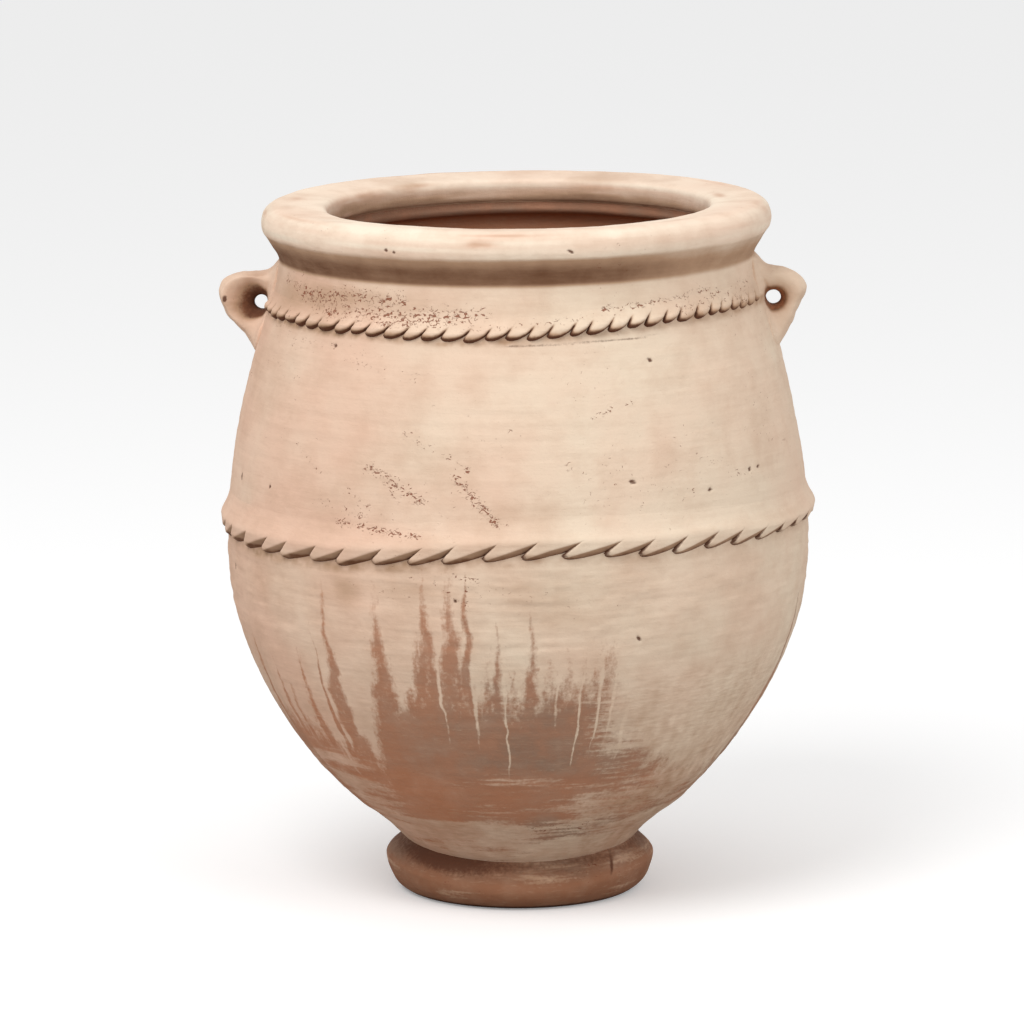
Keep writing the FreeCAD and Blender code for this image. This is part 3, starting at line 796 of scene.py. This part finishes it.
def tooth_shape(up, fraction, strength, drop):
    """Height off the wall of one tooth of the lower band, how much painted shade darkens its creases and the
    wall under its lower edge, and how much thinner wash and painted shade brown its lower face.

    A ridge crosses the tooth from its lower left corner to the tip of the next notch. Above it the
    tooth is smooth; below it a second face falls away to the crease in front of the next tooth."""
    share = limit(up / LOWER_NOTCH)
    crown = 4.4 + 3.6 * np.clip(up / LOWER_NOTCH, 0, 1.6) ** 0.8 + 0.4 * fraction
    past_ridge = -smooth_min(share - fraction, 0 * fraction, 0.025)
    notched = crown - 8.2 * strength * past_ridge
    crease = (bump(fraction, 1, 0.07) + 0.7 * bump(fraction, 0, 0.03)) * (1 - share) ** 0.5
    notched = notched - 1.3 * crease
    fade = np.clip((up - LOWER_NOTCH) / LOWER_FADE, -0.7, 1)
    smooth_top = 8.2 * (1 - fade) ** 2.1 - 0.35 * ramp(18, 30, up - LOWER_NOTCH)
    height = smooth_min(notched, smooth_top, 2.6)
    edge = 1.2 + drop - 1.8 * np.sin(np.pi * limit(fraction / 0.7))
    edge = edge + 3.4 * ramp(0.65, 1, fraction) + 2.0 * bump(fraction, 0, 0.12)
    height = rounded_off(height, (up - edge) / 4.2)
    # Painted shade in the notch creases and a painted shadow under the tooth's lower edge (dark); the lower
    # face is browned by thinner wash and painted shade.
    below_ridge = ramp(0.01, 0.12, past_ridge)
    dark = 0.95 * crease * (up > edge) + 0.7 * bump(up, edge, 2.4)
    return height, limit(dark), below_ridge * (1.0 + 0.8 * past_ridge)


UPPER_LOBES = 34  # in each half
UPPER_PITCH = 4.7  # degrees from one lobe to the next
UPPER_LEAN = 0.75  # how far a crease moves right for each millimetre up


def upper_band_piece(name, middle):
    """Half of the pinched band, from one lug to the other: each lobe is its own strip of columns."""
    random = np.random.default_rng(SEED + 4 + int(middle > 90))
    fraction = np.linspace(0, 0.975, 22)[None, :]
    up = np.concatenate([np.linspace(-3, 14, 32), np.linspace(14.8, 30, 16)])[:, None]
    radius = section(outer_place(NECK_SEAM))[0]
    starts = np.arange(UPPER_LOBES + 1) + random.uniform(-0.12, 0.12, UPPER_LOBES + 1)
    strips = []
    for lobe in range(UPPER_LOBES):
        across = starts[lobe] + (starts[lobe + 1] - starts[lobe]) * fraction
        upright = middle + (across - UPPER_LOBES / 2) * UPPER_PITCH
        lean = UPPER_LEAN * ramp(-90, -25, upright)
        azimuth = upright + np.degrees(np.clip(up, 0, 18) * lean / radius)
        fading = 1 - 0.5 * window(azimuth, 35, 70, 90, 110)
        height, dark = lobe_shape(up, fraction, random.uniform(0.85, 1.15), random.uniform(-1, 1))
        height = height * np.where(height > 0, fading, 1)
        # the lobes' painted shade also browns the wash there
        strips.append((azimuth, height, dark * fading, 1.9 * dark * fading))
    band_piece(name, up, strips, UPPER_BAND_BOTTOM, UPPER_STRAYS, closed=False)


def lobe_shape(up, fraction, strength, drop):
    """Height off the wall of one pinched lobe of the upper band, and how much painted shade darkens its
    creases and the wall under its lower edge.

    Each lobe is a rounded leaf: its right end dips under the start of the next one."""
    right = limit((fraction - 0.45) / 0.55)
    left = limit((0.35 - fraction) / 0.35)
    edge = 0.6 + drop + 6.5 * right**2.2 + 2.6 * left**2
    fade = limit((up - 8) / 18)
    crown = 7.0 * strength * (1 - fade) ** 2.0
    apart = ramp(16, 8, up)
    leaf = 1 - np.abs(2 * fraction - 0.95) ** 2.6
    crown = crown * (1 - apart + apart * (0.3 + 0.7 * np.clip(leaf, -0.4, 1)))
    crease = (bump(fraction, 1, 0.09) + 0.6 * bump(fraction, 0, 0.05)) * apart
    height = rounded_off(crown - 1.2 * crease, (up - edge) / 5) - 0.35 * ramp(20, 29, up)
    # painted shadow under the lobe's lower edge and painted shade in its creases
    dark = bump(up, edge - 0.4, 2.8) + 0.95 * crease * (up > edge)
    return height, limit(dark)


# -------- lugs

LUG_HOLE = (254, 591)
LUG_HOLE_RADIUS = 7.2
LUG_SQUARENESS = 2.35  # 2 gives round sections
# Distance from the hole's centre to the lug's outline, by direction: 0 is outward, 90 is up
LUG_OUTLINE = [
    (-180, 16), (-150, 22), (-120, 42), (-100, 60), (-86, 50), (-77, 42), (-61, 33.2), (-34, 28.8),
    (-6, 31.6), (8, 36.3), (17, 38.6), (30, 38.4), (46, 35.6), (68, 32), (86, 30.8), (98, 32),
    (104, 34), (108, 37.5), (111, 43), (113.5, 50), (117, 54), (130, 50), (148, 26), (180, 16),
]


def squared(wave):
    """A sine or cosine with flatter crests: a circle drawn with them comes out squarer."""
    return np.sign(wave) * np.abs(wave) ** (2 / LUG_SQUARENESS)


def lug_piece(name, azimuth, tip_shift, level_shift, front, funnel):
    """A pierced ear: closed sections stand round the hole, from the hole's wall to the ear's outline.

    front is the side of the ear that faces the camera (1 or -1), where the hole opens into a funnel."""
    directions = all_round(240)
    turns = np.linspace(0, 2 * np.pi, 110, endpoint=False)[:, None]
    knots, reach = zip(*LUG_OUTLINE)
    outline = np.interp(directions, knots, reach)
    kernel = np.hanning(9)
    outline = np.convolve(np.pad(outline, 4, mode="wrap"), kernel / kernel.sum(), mode="valid")
    outward = ramp(100, 20, np.abs(directions - 5))
    outline = outline + tip_shift * outward**2
    half_width = 20 - 2.5 * outward
    facing = limit(front * np.sin(turns))
    opening = funnel * limit(0.25 + 0.75 * np.cos(np.radians(directions - 25))) + 1.5
    hole = LUG_HOLE_RADIUS + opening * facing**1.4 * (np.cos(turns) < 0.6)
    hole = hole + 2.0 * limit(-front * np.sin(turns)) ** 2
    middle = (outline + hole) / 2
    half_depth = (outline - hole) / 2
    distance = middle + half_depth * squared(np.cos(turns))
    aside = half_width[None, :] * squared(np.sin(turns))
    angle = np.radians(directions)[None, :]
    radius = LUG_HOLE[0] + distance * np.cos(angle)
    level = LUG_HOLE[1] + distance * np.sin(angle) + level_shift
    wall = section(outer_place(np.clip(level, 520, 640)))[0]
    off_wall = np.clip(radius - wall, 0, None)
    aside = aside * (1 + 0.2 * np.exp(-off_wall / 10) + 0.5 * np.exp(-off_wall / 3))
    true_radius = np.hypot(radius, aside)
    ideal = handmade(true_radius, level, azimuth + np.degrees(np.arctan2(aside, radius)))
    normals = grid_normals(np.concatenate([ideal[-1:], ideal, ideal[:1]]))[1:-1]
    centre = ideal.mean(axis=0, keepdims=True)
    outward_sign = np.sign(np.sum(normals * (ideal - centre), axis=-1).mean())
    lumps = 0.7 * noise(ideal, 17) + 0.35 * noise(ideal, 8) + 0.12 * noise(ideal, 4)
    points = ideal + normals * (outward_sign * lumps)[..., None]
    in_hole = ramp(6 + funnel, 3, distance - LUG_HOLE_RADIUS) * ramp(20, 14, np.abs(aside))
    free = 1 - np.exp(-off_wall / 8)
    # a pit near the left ear's tip, on the side that faces the camera
    pit = bump(radius, 289, 2.0) * bump(level, 595, 3.2) * (front * aside > 0) * (front > 0)
    marks = wall_marks(azimuth + 0 * ideal[..., 0], level, outer_place(level), ideal)
    marks["clay"] = marks["clay"] * (1 - in_hole) + 0.3 * in_hole
    marks["pink"] = limit(marks["pink"] + in_hole)
    # The funnel round the hole is darkened and browned with painted shade and dirt, more where the funnel is
    # wider.
    marks["dark"] = limit(0.033 * funnel * in_hole**2 + 1.2 * pit)
    marks["scar"] = marks["scar"] * (1 - 0.7 * free)
    marks["thin"] = np.clip(marks["thin"] * (1 - 0.6 * free) + 0.1 * free + 1.7 * in_hole, 0, 2)
    faces = grid_faces(*points.shape[:2])
    if outward_sign < 0:
        faces = faces[:, ::-1]
    make_piece(name, points, marks, "lug_clay", faces)


# -------- materials

CREAM = (0.80, 0.65, 0.50)
PINK = (0.78, 0.52, 0.385)
TAN = (0.48, 0.305, 0.195)
RIM_CREAM = (0.90, 0.76, 0.61)
# Brown of stains, also used for deep painted shade under the rim, under the bands, in their creases and in
# the ears' funnels.
STAIN_AND_SHADE = (0.15, 0.062, 0.028)
CLAY = (0.29, 0.145, 0.088)
ORANGE_CLAY = (0.46, 0.19, 0.095)
RUST = (0.23, 0.06, 0.024)
# Dark brown of dirt, also used for painted shade in creases and hollows, under the bands' edges, along the
# foot and in the ears' funnels.
DIRT_AND_SHADE = (0.11, 0.04, 0.02)


class NodeSheet:
    """A helper for writing the node tree of a material or a world from top to bottom."""

    def __init__(self, owner):
        owner.use_nodes = True
        self.tree = owner.node_tree
        self.tree.nodes.clear()

    def add(self, kind, inputs=None, **settings):
        node = self.tree.nodes.new("ShaderNode" + kind)
        for setting, value in settings.items():
            setattr(node, setting, value)
        for name, value in (inputs or {}).items():
            if isinstance(value, bpy.types.NodeSocket):
                self.tree.links.new(value, node.inputs[name])
            else:
                node.inputs[name].default_value = value
        return node

    def mark(self, name):
        return self.add("Attribute", attribute_name=name).outputs["Fac"]

    def maths(self, operation, first, second=0.0, third=0.0, clamp=False):
        inputs = {0: first, 1: second, 2: third}
        return self.add("Math", inputs, operation=operation, use_clamp=clamp).outputs[0]

    def scaled(self, value, amount):
        return self.maths("MULTIPLY", value, amount)

    def swing(self, pattern, amount):
        """A noise pattern turned into a swing to either side of nothing."""
        return self.maths("MULTIPLY_ADD", pattern, amount, -amount / 2)

    def vary(self, value, pattern, amount, clamp=False):
        return self.maths("ADD", value, self.swing(pattern, amount), clamp=clamp)

    def squeezed(self, place, across, up):
        """Coordinates squeezed, so that a pattern comes out stretched that way."""
        mapping = self.add("Mapping", {"Vector": place, "Scale": (across, across, up)})
        return mapping.outputs["Vector"]

    def mix(self, share, first, second):
        node = self.add("Mix", {"Factor": share}, data_type="RGBA")
        for socket, value in ((node.inputs[6], first), (node.inputs[7], second)):
            if isinstance(value, bpy.types.NodeSocket):
                self.tree.links.new(value, socket)
            else:
                socket.default_value = (*value, 1)
        return node.outputs[2]

    def noise(self, place, scale, detail, distortion=0.0):
        inputs = {"Vector": place, "Scale": scale, "Detail": detail, "Distortion": distortion}
        return self.add("TexNoise", {**inputs, "Roughness": 0.6}).outputs["Fac"]

    def ramp(self, value, low, high):
        inputs = {"Value": value, "From Min": low, "From Max": high}
        node = self.add("MapRange", inputs, interpolation_type="SMOOTHSTEP")
        return node.outputs["Result"]


def toned(colour, tone):
    return tuple(tone * part for part in colour)


class ClaySheet(NodeSheet):
    """Fired clay under a pale lime wash. Marks on the mesh say where the clay is bare (clay), where wash was
    brushed back over it (veil), where the wash is thin or browned by painted shade (thin) or pink (pink),
    where grit scars lie (scar) and where painted shade and dirt darken creases, hollows and edges (dark)."""

    def __init__(self, material):
        super().__init__(material)
        place = self.add("TexCoord").outputs["Object"]
        self.mottle = self.noise(place, 9, 4)
        self.cloud = self.noise(place, 32, 5)
        self.speck = self.noise(place, 260, 4)
        self.fine = self.noise(place, 850, 3)
        self.streaks = self.noise(self.squeezed(place, 1, 0.13), 150, 4)
        self.rings = self.noise(self.squeezed(place, 0.1, 1), 210, 4)
        self.grit = self.noise(self.squeezed(place, 0.75, 1.15), 290, 4, 1.2)
        self.scratches = self.noise(self.squeezed(place, 0.16, 1), 420, 4, 0.3)
        pink = self.vary(self.mark("pink"), self.mottle, 0.6, clamp=True)
        self.pink = self.vary(pink, self.cloud, 0.35, clamp=True)

    def wash_colour(self, cream):
        """Cream or pink wash, tan where it is thin and brown where it is stained; the thin mark also carries
        painted shade, which comes out tan or brown.
        """
        wash = self.mix(self.pink, cream, PINK)
        thin = self.vary(self.mark("thin"), self.cloud, 0.7)
        thin = self.vary(thin, self.rings, 0.3)
        brushed = self.maths("MULTIPLY", self.mark("veil"), self.swing(self.scratches, 1.3))
        thin = self.maths("ADD", thin, brushed)
        colour = self.mix(thin, wash, TAN)
        return self.mix(self.maths("SUBTRACT", thin, 1.0, clamp=True), colour, STAIN_AND_SHADE)

    def bare_share(self):
        """How much of the clay is bare: a broken edge, less what the brushed wash covers."""
        edge = self.scaled(self.mark("clay"), FIELD_REACH)
        edge = self.vary(edge, self.streaks, 50)
        edge = self.vary(edge, self.speck, 45)
        veil = self.vary(self.mark("veil"), self.rings, 1.5)
        veil = self.vary(veil, self.speck, 0.6)
        cover = self.maths("MULTIPLY_ADD", self.ramp(veil, 0.3, 0.75), -0.75, 0.96)
        cover = self.vary(cover, self.cloud, 0.7, clamp=True)
        return self.maths("MULTIPLY", self.ramp(edge, -10, 24), cover)

    def clay_colour(self, tone):
        """Mottled brown to orange clay, with a little wash rubbed into it."""
        clay = toned(CLAY, tone)
        colour = self.mix(self.ramp(self.mottle, 0.48, 0.7), clay, toned(clay, 0.65))
        colour = self.mix(self.ramp(self.cloud, 0.35, 0.7), colour, toned(clay, 1.35))
        colour = self.mix(self.pink, colour, toned(ORANGE_CLAY, tone))
        return self.mix(self.scaled(self.ramp(self.scratches, 0.52, 0.8), 0.4), colour, TAN)

    def scar_share(self):
        """Small rusty marks where the grit stands above a threshold, which the scar mark lowers."""
        threshold = self.maths("MULTIPLY_ADD", self.mark("scar"), -0.22, 0.735)
        return self.maths("MULTIPLY", self.maths("SUBTRACT", self.grit, threshold), 24, clamp=True)

    def dirt_and_shade_share(self):
        broken = self.maths("MULTIPLY", self.swing(self.speck, 0.9), self.ramp(self.mark("dark"), 0, 0.2))
        return self.ramp(self.maths("ADD", self.mark("dark"), broken), 0.1, 0.8)

    def relief(self, scars, bare):
        """The fine relief that is too small for the mesh."""
        height = self.scaled(self.speck, 0.5)
        parts = [
            (self.fine, 0.22), (self.rings, 0.4), (self.cloud, 1.2), (self.scratches, 0.35),
            (scars, -1.1), (bare, -0.3),
        ]
        for pattern, amount in parts:
            height = self.maths("MULTIPLY_ADD", pattern, amount, height)
        inputs = {"Strength": 0.6, "Distance": 0.001, "Height": height}
        return self.add("Bump", inputs).outputs["Normal"]


def clay_material(name, tone=1.0, cream=CREAM):
    """Washed clay: tone darkens or lightens the clay itself and cream is the colour of thick wash."""
    material = bpy.data.materials.new(name)
    sheet = ClaySheet(material)
    bare = sheet.bare_share()
    scars = sheet.scar_share()
    colour = sheet.mix(sheet.scaled(bare, 0.92), sheet.wash_colour(cream), sheet.clay_colour(tone))
    colour = sheet.mix(sheet.scaled(scars, 0.85), colour, RUST)
    # dirt and painted shade, where the dark mark says
    colour = sheet.mix(sheet.scaled(sheet.dirt_and_shade_share(), 0.92), colour, DIRT_AND_SHADE)
    rough = sheet.maths("MULTIPLY_ADD", sheet.speck, 0.2, 0.78)
    rough = sheet.maths("MULTIPLY_ADD", bare, -0.08, rough)
    shader = sheet.add("BsdfPrincipled", {
        "Base Color": colour, "Roughness": rough, "Normal": sheet.relief(scars, bare),
        "Specular IOR Level": 0.25,
    })
    sheet.add("OutputMaterial", {"Surface": shader.outputs["BSDF"]})
    return material


MATERIALS = {slot: clay_material(slot) for slot in ("wall_clay", "band_clay", "lug_clay", "inner_clay")}
MATERIALS["rim_clay"] = clay_material("rim_clay", cream=RIM_CREAM)
MATERIALS["foot_clay"] = clay_material("foot_clay", tone=0.6)


# -------- the studio

CAMERA_DISTANCE = 6.5
CAMERA_LEVEL = 1.511
CAMERA_PITCH = 9.94  # degrees it looks down
CAMERA_ROLL = 0.25
CAMERA_LENS = 233.3
CAMERA_SHIFT = (-0.00586, 0.00537)
FLOOR_BOUNCE = (0.52, 0.5, 0.48)  # the floor's colour for everything but the camera
FLOOR_SEEN = (0.9, 0.9, 0.9)
FLOOR_GLOW = 0.2
SKY_STRENGTH = 0.7
WHITE = (1, 1, 1)
KEY_LIGHT = {"location": (-1.3, -2.4, 3.5), "target": (0, 0, 0.45), "power": 80}
FILL_LIGHT = {"location": (3.0, -2.2, 2.4), "target": (0, 0, 0.4), "power": 34}
LIGHT_SIZE = 2.4


def add_camera():
    camera = add_object("camera", bpy.data.cameras.new("camera"))
    turn = math.radians(LUG_TURN)
    camera.location = (CAMERA_DISTANCE * math.sin(turn), -CAMERA_DISTANCE * math.cos(turn), CAMERA_LEVEL)
    camera.rotation_euler = (math.radians(90 - CAMERA_PITCH), 0, turn)
    camera.rotation_euler.rotate_axis("Z", math.radians(-CAMERA_ROLL))
    camera.data.lens = CAMERA_LENS
    camera.data.shift_x, camera.data.shift_y = CAMERA_SHIFT
    bpy.context.scene.camera = camera


def add_light(name, location, target, power):
    light = bpy.data.lights.new(name, "AREA")
    light.shape = "DISK"
    light.size = LIGHT_SIZE
    light.energy = power
    lamp = add_object(name, light)
    lamp.location = location
    lamp.rotation_euler = (Vector(target) - Vector(location)).to_track_quat("-Z", "Y").to_euler()


def add_floor():
    """A pale floor that looks almost white but throws less light back up than it seems to."""
    side = 40
    corners = [(-side, -side, 0), (side, -side, 0), (side, side, 0), (-side, side, 0)]
    mesh = bpy.data.meshes.new("floor")
    mesh.from_pydata(corners, [], [(0, 1, 2, 3)])
    floor = add_object("floor", mesh)
    material = bpy.data.materials.new("floor")
    sheet = NodeSheet(material)
    seen = sheet.add("LightPath").outputs["Is Camera Ray"]
    colour = sheet.mix(seen, FLOOR_BOUNCE, FLOOR_SEEN)
    shader = sheet.add("BsdfPrincipled", {
        "Base Color": colour, "Roughness": 0.9, "Emission Color": (*WHITE, 1),
        "Emission Strength": sheet.scaled(seen, FLOOR_GLOW), "Specular IOR Level": 0.0,
    })
    sheet.add("OutputMaterial", {"Surface": shader.outputs["BSDF"]})
    mesh.materials.append(material)


def add_sky():
    """A plain sky that looks white, like the floor, but lights the jar less than that."""
    world = bpy.data.worlds.new("studio")
    sheet = NodeSheet(world)
    seen = sheet.add("LightPath").outputs["Is Camera Ray"]
    strength = sheet.maths("MULTIPLY_ADD", seen, 1 - SKY_STRENGTH, SKY_STRENGTH)
    background = sheet.add("Background", {"Color": (*WHITE, 1), "Strength": strength})
    sheet.add("OutputWorld", {"Surface": background.outputs["Background"]})
    bpy.context.scene.world = world


def add_studio():
    add_floor()
    add_sky()
    add_light("key", **KEY_LIGHT)
    add_light("fill", **FILL_LIGHT)
    bpy.context.scene.view_settings.view_transform = "Standard"


# -------- the object

foot_piece()
floor_piece()
stage_piece("bowl_wall", FOOT_SEAM, BOWL_SEAM, outer_spacing=1.9, inner_spacing=14)
stage_piece("belly_wall", BOWL_SEAM, BAND_SEAM, outer_spacing=1.6, inner_spacing=12)
stage_piece("upper_wall", BAND_SEAM, NECK_SEAM, outer_spacing=1.9, inner_spacing=12)
stage_piece("neck_collar", NECK_SEAM, RIM_SEAM, outer_spacing=1.1, inner_spacing=1.6)
rim_piece()
lower_band_piece()
upper_band_piece("upper_rope_band_front", -LUG_TURN)
upper_band_piece("upper_rope_band_back", 180 - LUG_TURN)
lug_piece("right_lug_handle", 90 - LUG_TURN, tip_shift=-3.5, level_shift=1.5, front=-1, funnel=4)
lug_piece("left_lug_handle", -90 - LUG_TURN, tip_shift=6, level_shift=-1.5, front=1, funnel=22)
add_camera()
add_studio()
